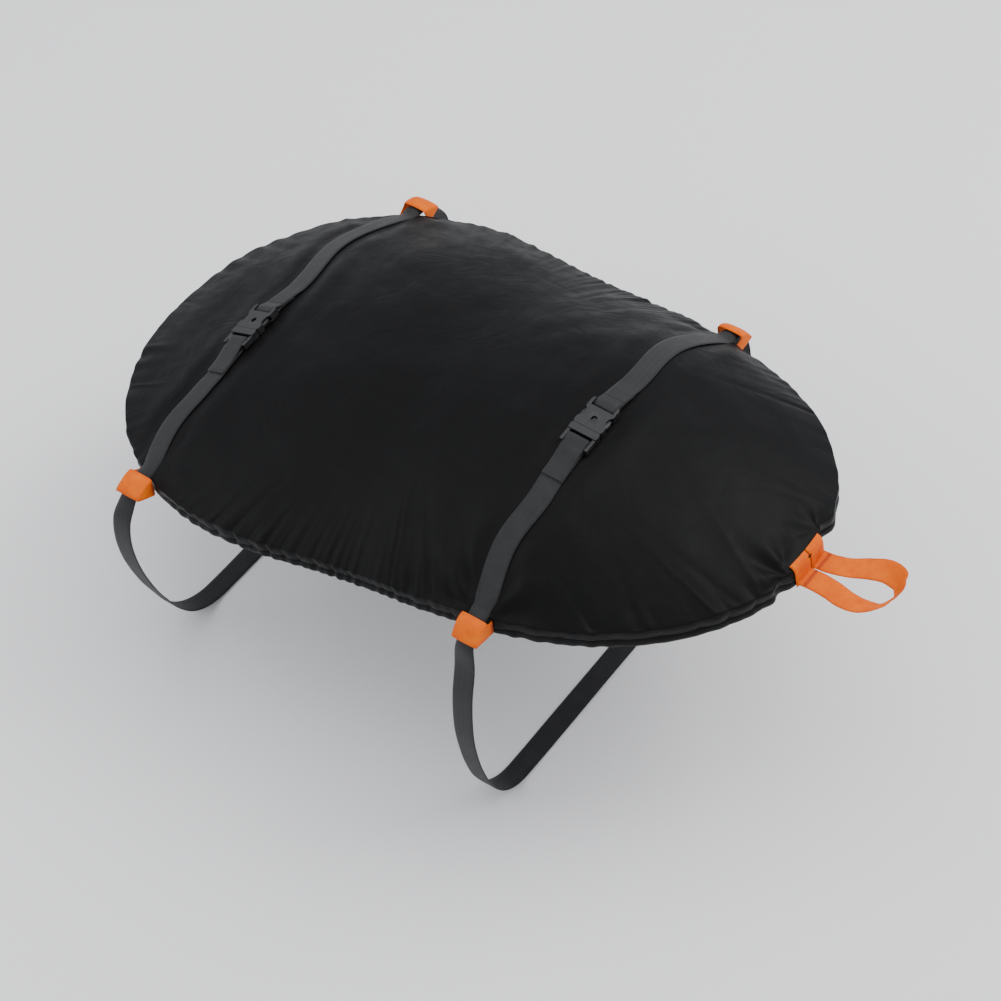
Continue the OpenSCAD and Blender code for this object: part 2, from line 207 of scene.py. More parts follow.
def strip(G, t, flip=False, closed_ends=True):
    """A woven strip on the mid-surface grid G (along, across, 3): full thickness in the middle, rounded selvedges. Returns verts, faces, uv in mm."""
    n, m, _ = G.shape
    N = grid_normals(G)
    if flip:
        N = -N
    prof = np.ones(m)
    prof[0] = prof[-1] = 0.30
    prof[1] = prof[-2] = 0.82
    off = N*(t/2)*prof[None, :, None]
    A, B = G + off, G - off
    verts = np.concatenate([A.reshape(-1, 3), B.reshape(-1, 3)])
    s = along(G[:, m//2])
    w = along(G[n//2])
    U = np.repeat((w - w[-1]/2)[None, :], n, 0)
    V = np.repeat(s[:, None], m, 1)
    uv = np.stack([U, V], -1).reshape(-1, 2)
    uv = np.concatenate([uv, uv])
    k = n*m
    ii, jj = np.meshgrid(np.arange(n - 1), np.arange(m - 1), indexing="ij")
    a = (ii*m + jj).ravel(); b = a + 1; c = a + m + 1; d = a + m
    faces = [np.stack([a, d, c, b], 1), np.stack([a, b, c, d], 1) + k]
    i = np.arange(n - 1)*m
    faces.append(np.stack([i, i + k, i + m + k, i + m], 1)[:, ::-1])
    i = i + m - 1
    faces.append(np.stack([i, i + k, i + m + k, i + m], 1))
    if closed_ends:
        j = np.arange(m - 1)
        faces.append(np.stack([j, j + 1, j + 1 + k, j + k], 1)[:, ::-1])
        j = j + (n - 1)*m
        faces.append(np.stack([j, j + 1, j + 1 + k, j + k], 1))
    F = np.concatenate(faces)
    if flip:
        F = F[:, ::-1]
    return verts, F, uv


def fix_normals(ob):
    import bmesh
    bm = bmesh.new()
    bm.from_mesh(ob.data)
    bmesh.ops.recalc_face_normals(bm, faces=bm.faces)
    bm.to_mesh(ob.data)
    bm.free()
    return ob


# ------------------------------------------------------------------ materials
def nodes_of(mat):
    mat.use_nodes = True
    nt = mat.node_tree
    for n in list(nt.nodes):
        nt.nodes.remove(n)
    out = nt.nodes.new("ShaderNodeOutputMaterial")
    b = nt.nodes.new("ShaderNodeBsdfPrincipled")
    nt.links.new(b.outputs[0], out.inputs[0])
    return nt, b


def math_node(nt, op, a, b=None, c=None):
    n = nt.nodes.new("ShaderNodeMath")
    n.operation = op
    for i, v in enumerate((a, b, c)):
        if v is None:
            continue
        if isinstance(v, (int, float)):
            n.inputs[i].default_value = v
        else:
            nt.links.new(v, n.inputs[i])
    return n.outputs[0]


def ramp(nt, fac, stops):
    n = nt.nodes.new("ShaderNodeValToRGB")
    while len(n.color_ramp.elements) < len(stops):
        n.color_ramp.elements.new(0.5)
    for e, (p, c) in zip(n.color_ramp.elements, stops):
        e.position = p
        e.color = (*c, 1) if len(c) == 3 else c
    nt.links.new(fac, n.inputs[0])
    return n.outputs[0]


def noise(nt, vec, scale, detail=3, rough=0.55):
    n = nt.nodes.new("ShaderNodeTexNoise")
    n.inputs["Scale"].default_value = scale
    n.inputs["Detail"].default_value = detail
    n.inputs["Roughness"].default_value = rough
    nt.links.new(vec, n.inputs["Vector"])
    return n.outputs[0]


def obj_coord(nt):
    return nt.nodes.new("ShaderNodeTexCoord").outputs["Object"]


def uv_coord(nt):
    n = nt.nodes.new("ShaderNodeUVMap")
    n.uv_map = "UVMap"
    s = nt.nodes.new("ShaderNodeSeparateXYZ")
    nt.links.new(n.outputs[0], s.inputs[0])
    return n.outputs[0], s.outputs[0], s.outputs[1]


def bump(nt, height, strength, distance, normal=None):
    n = nt.nodes.new("ShaderNodeBump")
    n.inputs["Strength"].default_value = strength
    n.inputs["Distance"].default_value = distance
    nt.links.new(height, n.inputs["Height"])
    if normal is not None:
        nt.links.new(normal, n.inputs["Normal"])
    return n.outputs[0]


def mat_cover():
    m = bpy.data.materials.new("coated_nylon")
    nt, b = nodes_of(m)
    P = obj_coord(nt)
    s = nt.nodes.new("ShaderNodeSeparateXYZ")
    nt.links.new(P, s.inputs[0])
    x, y, z = s.outputs
    # plain weave, 0.9 mm repeat, on the two horizontal directions
    wx = math_node(nt, "SINE", math_node(nt, "MULTIPLY", math_node(nt, "ADD", x, math_node(nt, "MULTIPLY", z, 0.35)), 2*math.pi/0.0011))
    wy = math_node(nt, "SINE", math_node(nt, "MULTIPLY", math_node(nt, "ADD", y, math_node(nt, "MULTIPLY", z, 0.6)), 2*math.pi/0.0011))
    weave = math_node(nt, "MULTIPLY", wx, wy)
    big = noise(nt, P, 9, 4, 0.6)
    mid = noise(nt, P, 55, 4, 0.6)
    fine = noise(nt, P, 900, 2, 0.5)
    mix = math_node(nt, "ADD", math_node(nt, "MULTIPLY", big, 0.6), math_node(nt, "MULTIPLY", mid, 0.4))
    col = ramp(nt, mix, [(0.30, (0.0026, 0.0026, 0.0027)), (0.55, (0.0037, 0.0037, 0.0039)), (0.78, (0.0066, 0.0066, 0.0069))])
    nt.links.new(col, b.inputs["Base Color"])
    r = nt.nodes.new("ShaderNodeMapRange")
    nt.links.new(mid, r.inputs[0])
    r.inputs[1].default_value, r.inputs[2].default_value = 0.3, 0.75
    r.inputs[3].default_value, r.inputs[4].default_value = 0.42, 0.56
    nt.links.new(r.outputs[0], b.inputs["Roughness"])
    b.inputs["Specular IOR Level"].default_value = 0.09
    b.inputs["Sheen Weight"].default_value = 0.004
    b.inputs["Sheen Roughness"].default_value = 0.45
    b.inputs["Sheen Tint"].default_value = (0.75, 0.78, 0.85, 1)
    n1 = bump(nt, weave, 0.22, 0.00012)
    n2 = bump(nt, fine, 0.10, 0.0003, n1)
    # faint handling creases
    v = nt.nodes.new("ShaderNodeTexNoise")
    v.inputs["Scale"].default_value = 16
    v.inputs["Detail"].default_value = 5
    v.inputs["Distortion"].default_value = 1.3
    nt.links.new(P, v.inputs["Vector"])
    crease = math_node(nt, "ABSOLUTE", math_node(nt, "SUBTRACT", v.outputs[0], 0.5))
    crease = math_node(nt, "MINIMUM", math_node(nt, "MULTIPLY", crease, 9), 1.0)
    n3 = bump(nt, crease, 0.16, 0.0012, n2)
    nt.links.new(n3, b.inputs["Normal"])
    return m


def mat_webbing(name, dark, mid, light, rough, sheen, spec=0.3):
    m = bpy.data.materials.new(name)
    nt, b = nodes_of(m)
    uv, u, v = uv_coord(nt)
    P = obj_coord(nt)
    # herringbone: ribs 1.5 mm apart that turn every 3.1 mm across the strip
    zig = math_node(nt, "PINGPONG", u, 3.1)
    ribs = math_node(nt, "SINE", math_node(nt, "MULTIPLY", math_node(nt, "ADD", v, math_node(nt, "MULTIPLY", zig, 0.8)), 2*math.pi/1.5))
    warp = math_node(nt, "SINE", math_node(nt, "MULTIPLY", u, 2*math.pi/0.78))
    height = math_node(nt, "ADD", math_node(nt, "MULTIPLY", ribs, 0.6), math_node(nt, "MULTIPLY", warp, 0.4))
    # edge rows
    sel = math_node(nt, "GREATER_THAN", math_node(nt, "ABSOLUTE", u), 10.9)
    n = noise(nt, P, 60, 4, 0.6)
    n2 = noise(nt, P, 1400, 2, 0.5)
    shade = math_node(nt, "ADD", math_node(nt, "MULTIPLY", height, 0.14), math_node(nt, "ADD", math_node(nt, "MULTIPLY", n, 0.55), math_node(nt, "MULTIPLY", n2, 0.3)))
    shade = math_node(nt, "SUBTRACT", shade, math_node(nt, "MULTIPLY", sel, 0.06))
    col = ramp(nt, shade, [(0.15, dark), (0.42, mid), (0.72, light)])
    nt.links.new(col, b.inputs["Base Color"])
    r = nt.nodes.new("ShaderNodeMapRange")
    nt.links.new(n, r.inputs[0])
    r.inputs[1].default_value, r.inputs[2].default_value = 0.3, 0.7
    r.inputs[3].default_value, r.inputs[4].default_value = rough - 0.06, rough + 0.08
    nt.links.new(r.outputs[0], b.inputs["Roughness"])
    b.inputs["Specular IOR Level"].default_value = spec
    b.inputs["Sheen Weight"].default_value = sheen
    b.inputs["Sheen Roughness"].default_value = 0.4
    nn = bump(nt, height, 0.55, 0.00022)
    nn = bump(nt, n2, 0.15, 0.0002, nn)
    nt.links.new(nn, b.inputs["Normal"])
    return m


def mat_thread(name, colour):
    m = bpy.data.materials.new(name)
    nt, b = nodes_of(m)
    P = obj_coord(nt)
    n = noise(nt, P, 1500, 2)
    col = ramp(nt, n, [(0.3, tuple(c*0.7 for c in colour)), (0.7, colour)])
    nt.links.new(col, b.inputs["Base Color"])
    b.inputs["Roughness"].default_value = 0.55
    b.inputs["Sheen Weight"].default_value = 0.2
    nt.links.new(bump(nt, n, 0.4, 0.0002), b.inputs["Normal"])
    return m


def mat_plastic():
    m = bpy.data.materials.new("moulded_acetal")
    nt, b = nodes_of(m)
    P = obj_coord(nt)
    n = noise(nt, P, 2600, 3, 0.6)
    n2 = noise(nt, P, 120, 4, 0.6)
    col = ramp(nt, n2, [(0.3, (0.007, 0.007, 0.0075)), (0.75, (0.014, 0.014, 0.015))])
    nt.links.new(col, b.inputs["Base Color"])
    r = nt.nodes.new("ShaderNodeMapRange")
    nt.links.new(n2, r.inputs[0])
    r.inputs[1].default_value, r.inputs[2].default_value = 0.3, 0.75
    r.inputs[3].default_value, r.inputs[4].default_value = 0.30, 0.46
    nt.links.new(r.outputs[0], b.inputs["Roughness"])
    b.inputs["Specular IOR Level"].default_value = 0.5
    bev = nt.nodes.new("ShaderNodeBevel")
    bev.samples = 6
    bev.inputs["Radius"].default_value = 0.0006
    nt.links.new(bump(nt, n, 0.12, 0.00015, bev.outputs[0]), b.inputs["Normal"])
    return m


def mat_cord():
    m = bpy.data.materials.new("braided_elastic")
    nt, b = nodes_of(m)
    uv, u, v = uv_coord(nt)
    a = math_node(nt, "SINE", math_node(nt, "MULTIPLY", math_node(nt, "ADD", v, u), 2*math.pi/1.6))
    c = math_node(nt, "SINE", math_node(nt, "MULTIPLY", math_node(nt, "SUBTRACT", v, u), 2*math.pi/1.6))
    h = math_node(nt, "MAXIMUM", a, c)
    col = ramp(nt, math_node(nt, "MULTIPLY_ADD", h, 0.5, 0.5), [(0.1, (0.01, 0.01, 0.011)), (0.9, (0.035, 0.035, 0.037))])
    nt.links.new(col, b.inputs["Base Color"])
    b.inputs["Roughness"].default_value = 0.6
    nt.links.new(bump(nt, h, 0.6, 0.0003), b.inputs["Normal"])
    return m


M_COVER = mat_cover()
M_BLACK = mat_webbing("black_webbing", (0.010, 0.0102, 0.0108), (0.019, 0.0192, 0.020), (0.034, 0.0343, 0.0355), 0.6, 0.06, 0.22)
M_ORANGE = mat_webbing("orange_webbing", (0.52, 0.055, 0.0008), (0.78, 0.125, 0.0012), (0.92, 0.215, 0.004), 0.66, 0.0, 0.12)
M_THREAD_B = mat_thread("black_thread", (0.022, 0.022, 0.024))
M_THREAD_O = mat_thread("orange_thread", (0.55, 0.06, 0.001))
M_PLASTIC = mat_plastic()
M_CORD = mat_cord()

# ------------------------------------------------------------------ cover cloth
NA = 1440


def wave_set(n, lo, hi, seed):
    r = np.random.RandomState(seed)
    return [(int(r.randint(lo, hi)), r.uniform(0, 2*math.pi), r.uniform(0.5, 1)) for _ in range(n)]


def periodic(a, waves):
    s = sum(w*np.sin(k*a + ph) for k, ph, w in waves)
    return s/math.sqrt(sum(w*w for _, _, w in waves)/2)


WARP = wave_set(6, 2, 9, 3)
AMP = wave_set(7, 3, 15, 5)
FINE = wave_set(9, 60, 150, 11)
SLOW = wave_set(6, 8, 26, 13)
ANG = np.linspace(0, 2*math.pi, NA, endpoint=False)


def puff(a):
    """Pillow height between the gathers, 0 at a crease, 1 at a crown, about 32 mm apart round the hem."""
    ph = 33*a + 1.7*periodic(a, WARP)
    return np.abs(np.sin(ph))**0.7


PUFF = puff(ANG)
PAMP = 0.66 + 0.34*np.clip(periodic(ANG, AMP), -1.6, 1.6)
PUFF2 = periodic(ANG, FINE)*0.5
PSLOW = periodic(ANG, SLOW)*0.5



def notch(X, Y):
    """How far the hem is drawn in beside the pull loop, in mm."""
    return np.where(X > 0, 8.0*np.exp(-((Y - 39)/10)**2) + 4.5*np.exp(-((Y + 42)/10)**2), 0)


# anchor points that pull the cloth: keepers and the pull loop
KEEP = []
for k, (sx, _) in STRAPS.items():
    for side in (-1, 1):
        KEEP.append((k, side, sx*CP, side*half_w(sx*CP)))


def seg_noise(x, y, scale, seed, octaves=3):
    from mathutils import noise as mn
    out = np.zeros(x.shape)
    flat = out.ravel()
    xs, ys = x.ravel()/scale, y.ravel()/scale
    for i in range(len(flat)):
        v, f, amp = 0.0, 1.0, 1.0
        for _ in range(octaves):
            v += amp*mn.noise((xs[i]*f + seed, ys[i]*f - seed, seed*1.7))
            f *= 2.0
            amp *= 0.45
        flat[i] = v
    return flat.reshape(x.shape)


def strap_mask(X, Y):
    """0 under a strap or buckle, rising to 1 away from it; and how close beside a strap a point is."""
    P = level(np.stack([X, Y, dome(X, Y)], -1))
    mask = np.ones(X.shape)
    beside = np.zeros(X.shape)
    for k, (sx, sy) in STRAPS.items():
        h = edge_y(sx) - 6
        tp = np.clip((P[..., 1] - sy - 80)/(h - sy - 80), 0, 1)
        ts = np.clip((-P[..., 1] + sy - 80)/(h + sy - 80), 0, 1)
        d = np.abs(P[..., 0] - sx + BOW[k][0]*np.sin(math.pi*tp)**2 + BOW[k][1]*np.sin(math.pi*ts)**2)
        near = np.abs(P[..., 1] - sy) < 36
        half = np.where(near, 18.5, 13.5)
        mask = np.minimum(mask, ease((d - half)/16))
        beside = np.maximum(beside, np.exp(-((d - 34)/15)**2))
    return mask, beside


# radial wrinkles that run in from the hem: angle, length, width, height
WR = []
for i in range(46):
    WR.append((RNG.uniform(0, 2*math.pi), RNG.uniform(45, 150), RNG.uniform(3.5, 8), RNG.uniform(0.5, 1.7)*(1 if RNG.rand() < 0.6 else -1), RNG.uniform(-0.5, 0.5)))


def cloth_offset(X, Y, a, rho):
    """Height change of the cloth above the plain dome, in mm."""
    r = outline(a)
    d = (1 - rho)*r
    h = np.zeros(X.shape)
    pf = np.broadcast_to(np.interp(a, np.append(ANG, 2*math.pi), np.append(PUFF*PAMP, PUFF[0]*PAMP[0])), X.shape)
    p2 = np.interp(a, np.append(ANG, 2*math.pi), np.append(PUFF2, PUFF2[0]))
    ps = np.interp(a, np.append(ANG, 2*math.pi), np.append(PSLOW, PSLOW[0]))
    h += (pf - 0.62)*2.0*np.exp(-d/19)
    h += p2*0.55*np.exp(-d/26)
    h += ps*1.3*np.exp(-d/70)
    for (wa, L, w, amp, bend) in WR:
        da = (a - wa - bend*d/600 + math.pi) % (2*math.pi) - math.pi
        lat = da*r*np.maximum(rho, 0.2)
        h += amp*np.exp(-(lat/(w*(0.6 + 0.5*d/L)))**2)*np.clip(1 - d/L, 0, 1)**1.3*ease(d/6 + 0.35)
    # fans of pleats where the keepers are sewn on
    for i, (k, side, kx, ky) in enumerate(KEEP):
        dx, dy = X - kx, Y - ky
        dist = np.hypot(dx, dy)
        ang = np.arctan2(dx, -side*dy)
        strong = 1.9 if (k == "front" and side < 0) else 1.1
        n = 9.5 if (k == "front" and side < 0) else 7.5
        h += strong*np.sin(ang*n + i*1.3)*np.exp(-((dist - 30)/36)**2)*ease((dist - 10)/14)
        # the cloth is drawn down to the keeper
        h -= 2.2*np.exp(-(dist/30)**2)
    # bunched cloth beside the pull loop
    for (py, s) in ((-34, 1.0), (31, 0.7)):
        dist = np.hypot(X - 414, Y - py)
        ang = np.arctan2(Y - py, 423 - X)
        h += s*2.0*np.sin(ang*6)*np.exp(-((dist - 18)/20)**2)
    h += seg_noise(X, Y, 120, 3.1)*2.6*ease(d/60)
    # long soft pulls between the straps
    h += seg_noise(X*0.45, Y + 0.35*X, 60, 8.4, 2)*1.3*ease(d/50)
    mask, beside = strap_mask(X, Y)
    h = h*mask + 1.5*beside*ease(d/40)*mask
    # flat under the sewn ends of the pull loop
    tab = ease((np.maximum(414 - X, np.abs(Y + 1) - 27))/9)
    return h*tab - 0.5*(1 - tab)


def polar(rho, a):
    r = outline(a)
    return rho*r*np.cos(a), rho*r*np.sin(a)


def build_cover():
    rhos = np.concatenate([np.linspace(0.012, 0.80, 88), 0.80 + 0.2*np.linspace(0, 1, 56)[1:]**0.9])
    RH, A = np.meshgrid(rhos, ANG, indexing="ij")
    X, Y = polar(RH, A)
    Z = dome(X, Y)
    h = cloth_offset(X, Y, A, RH)
    # move along the dome's own normal
    e = 0.5
    gx = (dome(X + e, Y) - dome(X - e, Y))/(2*e)
    gy = (dome(X, Y + e) - dome(X, Y - e))/(2*e)
    gl = np.sqrt(1 + gx*gx + gy*gy)
    pull = notch(X, Y)*np.exp(-((1 - RH)*outline(A)/16)**2)
    top = np.stack([X - gx/gl*h - pull*np.cos(A), Y - gy/gl*h - pull*np.sin(A), Z + h/gl], -1)
    # skirt below the rim, gathers grow towards the hem
    rows = []
    r = outline(ANG)
    n_out = [np.cos(ANG), np.sin(ANG)]
    keepd = np.ones(NA)
    for (k, side, kx, ky) in KEEP:
        dist = np.hypot(r*np.cos(ANG) - kx, r*np.sin(ANG) - ky)
        keepd = np.minimum(keepd, ease((dist - 15)/22))
    front = np.hypot(r*np.cos(ANG) - 423, r*np.sin(ANG))
    keepd = np.minimum(keepd, ease((front - 27)/14))
    pull = notch(r*np.cos(ANG), r*np.sin(ANG))
    for k, (dr, dz) in enumerate([(0.5, -1.6), (0.7, -3.5), (0.6, -5.5), (0.2, -7.5), (-0.4, -9.5), (-0.9, -11.2), (-1.4, -12.6), (-1.8, -13.6)]):
        g = (PUFF*PAMP - 0.62)*(1.9 + 1.3*(-dz/13)) + PUFF2*0.7
        rr = r + dr*keepd + g*keepd - pull
        last_h = h[-1]
        rows.append(np.stack([rr*n_out[0], rr*n_out[1], np.full(NA, dz) + last_h*0.5*max(0, 1 + dz/5)], -1))
    outer = np.concatenate([top, np.array(rows)])
    # inner side, one cloth thickness in
    t = 0.9
    n = grid_normals(np.concatenate([outer, outer[:, :1]], 1))[:, :-1]
    sign = np.sign(n[0, 0, 2])
    inner = outer - sign*n*t
    R = len(outer)
    V = np.concatenate([outer.reshape(-1, 3), inner.reshape(-1, 3), [[0, 0, float(Z[0].mean() + h[0].mean())], [0, 0, float(Z[0].mean() + h[0].mean()) - t]]])
    ii, jj = np.meshgrid(np.arange(R - 1), np.arange(NA), indexing="ij")
    a = (ii*NA + jj).ravel(); b = (ii*NA + (jj + 1) % NA).ravel(); c = b + NA; d = a + NA
    F = [np.stack([a, d, c, b], 1), np.stack([a, b, c, d], 1) + R*NA]
    j = np.arange(NA)
    e0 = (R - 1)*NA + j; e1 = (R - 1)*NA + (j + 1) % NA
    F.append(np.stack([e0, e0 + R*NA, e1 + R*NA, e1], 1))
    F = [list(f) for q in F for f in q]
    c0 = 2*R*NA
    F += [[c0, int(x), int((x + 1) % NA)] for x in j]
    F += [[c0 + 1, int((x + 1) % NA) + R*NA, int(x) + R*NA] for x in j]
    ob = make("cover_cloth", level(V), F, M_COVER)
    fix_normals(ob)
    ob.data.shade_smooth()
    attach(ob, "cover")
    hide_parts("cover_panel")
    return ob, keepd


COVER, KEEPD = build_cover()


def build_hem():
    """The casing at the lower edge: folded cloth round the cord, gathered by it."""
    r = outline(ANG)
    prof = [(-1.9, -12.4), (-1.2, -13.8), (-0.7, -15.6), (-0.4, -18), (-0.7, -20.6), (-1.8, -23.0), (-3.9, -24.6), (-6.4, -24.9), (-8.8, -23.4),
            (-10.2, -20.8), (-10.5, -18.0), (-9.8, -15.6), (-8.4, -14.3), (-7.7, -14.6), (-8.7, -16.2), (-9.3, -18.4), (-8.9, -21.2), (-6.8, -23.3), (-4.4, -23.4),
            (-2.6, -21.8), (-1.7, -18.6), (-1.9, -15.8), (-2.5, -13.6), (-2.8, -12.4)]
    rows = []
    for (dr, z) in prof:
        depth = min(1, max(0, (-z - 11)/8))
        g = ((PUFF*PAMP - 0.62)*3.1*(1 - 0.45*depth) + PUFF2*(0.7 + 0.3*depth))*KEEPD - notch(r*np.cos(ANG), r*np.sin(ANG))
        dz = (PUFF*PAMP - 0.6)*0.9*depth*KEEPD + 0.5*PSLOW*depth
        rr = r + dr + g
        rows.append(np.stack([rr*np.cos(ANG), rr*np.sin(ANG), z + dz], -1))
    G = np.array(rows)
    R = len(G)
    ii, jj = np.meshgrid(np.arange(R), np.arange(NA), indexing="ij")
    a = (ii*NA + jj).ravel(); b = (ii*NA + (jj + 1) % NA).ravel()
    c = (((ii + 1) % R)*NA + (jj + 1) % NA).ravel(); d = (((ii + 1) % R)*NA + jj).ravel()
    ob = make("hem_casing", level(G.reshape(-1, 3)), np.stack([a, d, c, b], 1), M_COVER)
    fix_normals(ob)
    ob.data.shade_smooth()
    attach(ob, "cover")
    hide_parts("hem_sleeve")
    return ob


HEM = build_hem()


def build_cord():
    r = outline(ANG[::2]) - 5.5
    a = ANG[::2]
    g = ((PUFF*PAMP - 0.62)*1.6*KEEPD)[::2] - notch(r*np.cos(a), r*np.sin(a))/0.6
    rows, uv = [], []
    per = along(np.stack([r*np.cos(a), r*np.sin(a)], 1))
    for b in np.linspace(0, 2*math.pi, 14, endpoint=False):
        rr = r - 0.2 + g*0.6 + 2.5*math.cos(b)
        rows.append(np.stack([rr*np.cos(a), rr*np.sin(a), np.full(len(a), -19.2 - 2.5*math.sin(b))], -1))
        uv.append(np.stack([np.full(len(a), b*2.6), per], -1))
    G = np.array(rows)
    R, n = len(G), len(a)
    ii, jj = np.meshgrid(np.arange(R), np.arange(n), indexing="ij")
    f = np.stack([(ii*n + jj).ravel(), (ii*n + (jj + 1) % n).ravel(), (((ii + 1) % R)*n + (jj + 1) % n).ravel(), (((ii + 1) % R)*n + jj).ravel()], 1)
    ob = make("hem_cord", level(G.reshape(-1, 3)), f, M_CORD, uv=np.array(uv).reshape(-1, 2))
    fix_normals(ob)
    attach(ob, "cover")
    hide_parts("shock_cord")
    return ob


build_cord()

# ------------------------------------------------------------------ stitches
def stitch_mesh(name, items, material, body):
    """items: (centre, direction, up, length, radius) in mm; each stitch is a small rounded thread."""
    V, F = [], []
    rings = [(-0.5, 0.25), (-0.34, 0.85), (0, 1.0), (0.34, 0.85), (0.5, 0.25)]
    for (c, d, u, L, rad) in items:
        d, u = unit(d), unit(u)
        s = np.cross(d, u)
        base = len(V)
        for (t, k) in rings:
            for q in range(6):
                b = q*math.pi/3
                V.append(np.asarray(c) + d*t*L + (s*math.cos(b) + u*math.sin(b))*rad*k)
        for i in range(4):
            for q in range(6):
                F.append([base + i*6 + q, base + i*6 + (q + 1) % 6, base + (i + 1)*6 + (q + 1) % 6, base + (i + 1)*6 + q])
        F.append([base + q for q in range(6)][::-1])
        F.append([base + 24 + q for q in range(6)])
    ob = make(name, V, F, material)
    fix_normals(ob)
    ob.data.shade_smooth()
    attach(ob, body)
    return ob


def hem_stitches():
    r0 = outline(ANG)
    r = r0 + ((PUFF*PAMP - 0.62)*3.15 + PUFF2*0.7)*KEEPD - 1.5*KEEPD - 0.2 - notch(r0*np.cos(ANG), r0*np.sin(ANG))
    P = np.stack([r*np.cos(ANG), r*np.sin(ANG), np.full(NA, -12.2)], -1)
    P = np.concatenate([P, P[:1]])
    s = along(P)
    items = []
    step = 4.2
    for i in range(int(s[-1]/step)):
        a, b = i*step + 0.6, i*step + 3.6
        pa = np.array([np.interp(a, s, P[:, k]) for k in range(3)])
        pb = np.array([np.interp(b, s, P[:, k]) for k in range(3)])
        out = unit([pa[0], pa[1], 0])
        c = (pa + pb)/2 + out*0.35
        items.append((level(c), level(pb - pa), level(out), 3.1, 0.32))
    return items


stitch_mesh("hem_stitching", hem_stitches(), M_THREAD_B, "cover")

# ------------------------------------------------------------------ straps
ACROSS = np.linspace(-1, 1, 11)


def strap_grid(x, pts, s_keep=None, amp=0.0, seed=0, tilt=None):
    """Arc lengths, unit tangents and side normals of the [y, z] points at station x. s_keep: arc positions where a
    keeper would bunch the webbing; not used.
    """
    pts = np.asarray(pts, float)
    s = along(pts)
    t = np.gradient(pts, axis=0)
    t /= np.linalg.norm(t, axis=1, keepdims=True)
    nrm = np.stack([-t[:, 1], t[:, 0]], 1)
    return s, t, nrm


def resample(pts, step):
    s = along(pts)
    n = max(2, int(round(s[-1]/step)))
    q = np.linspace(0, s[-1], n + 1)
    return np.stack([np.interp(q, s, pts[:, k]) for k in range(pts.shape[1])], 1)


def smooth_path(pts, k=2):
    p = pts.copy()
    for _ in range(k):
        p[1:-1] = (p[:-2] + 2*p[1:-1] + p[2:])/4
    return p


def ribbon_from_edges(A, B, centre_keep, bunch, step=2.6, cup_dir=1.0, sag=0.0, seed=0, name="", mat=None, t=WEB_T):
    """A, B: (n, 3) edge routes in the level frame. centre_keep: list of (arc position, half length) of keepers; bunch: how much the width closes there."""
    C = (A + B)/2
    s0 = along(C)
    n = max(8, int(s0[-1]/step))
    q = np.linspace(0, s0[-1], n)
    A = np.stack([np.interp(q, s0, A[:, k]) for k in range(3)], 1)
    B = np.stack([np.interp(q, s0, B[:, k]) for k in range(3)], 1)
    A[1:-1] = (A[:-2] + 2*A[1:-1] + A[2:])/4
    B[1:-1] = (B[:-2] + 2*B[1:-1] + B[2:])/4
    C = (A + B)/2
    W = (B - A)/2
    T = np.gradient(C, axis=0)
    T /= np.linalg.norm(T, axis=1, keepdims=True)
    N = np.cross(T, W)
    N /= np.linalg.norm(N, axis=1, keepdims=True)
    k = np.zeros(n)
    for (c, hl) in centre_keep:
        k = np.maximum(k, np.exp(-(np.abs(q - c)/hl)**2.4))
    width = 1 - bunch*k
    # cupped where it is bunched: the middle stays, the edges turn towards cup_dir
    depth = 12.5*np.sqrt(np.clip(1 - width**2, 0, 1))*0.45
    G = np.zeros((n, len(ACROSS), 3))
    r = np.random.RandomState(seed)
    ph = r.uniform(0, 6.28, 4)
    wob = 0.25*np.sin(q/37 + ph[0]) + 0.18*np.sin(q/19 + ph[1])
    for j, w in enumerate(ACROSS):
        G[:, j] = C + W*(w*width)[:, None] + N*(cup_dir*depth*(w*w))[:, None] + N*(wob*w*0.6*np.minimum(1, np.minimum(q, q[-1] - q)/30))[:, None]
    return G, q


def over_pts(which, x_off, y0, y1, n, bow):
    out = []
    for i in range(n + 1):
        x = STRAPS[which][0] + x_off - bow*math.sin(math.pi*i/n)**2
        y = y0 + (y1 - y0)*i/n
        out.append([x, y, top_z(x, y) + LIFT])
    return out


def lead_pts(which, s, e):
    b = BK[which]
    return [list(b.at([s*WEB_W/2, e*v, b.lead_w(e, v)])) for v in ([66, 57, 48.2] if e > 0 else [66, 55, 44.2])]


SPLIT = 18.0


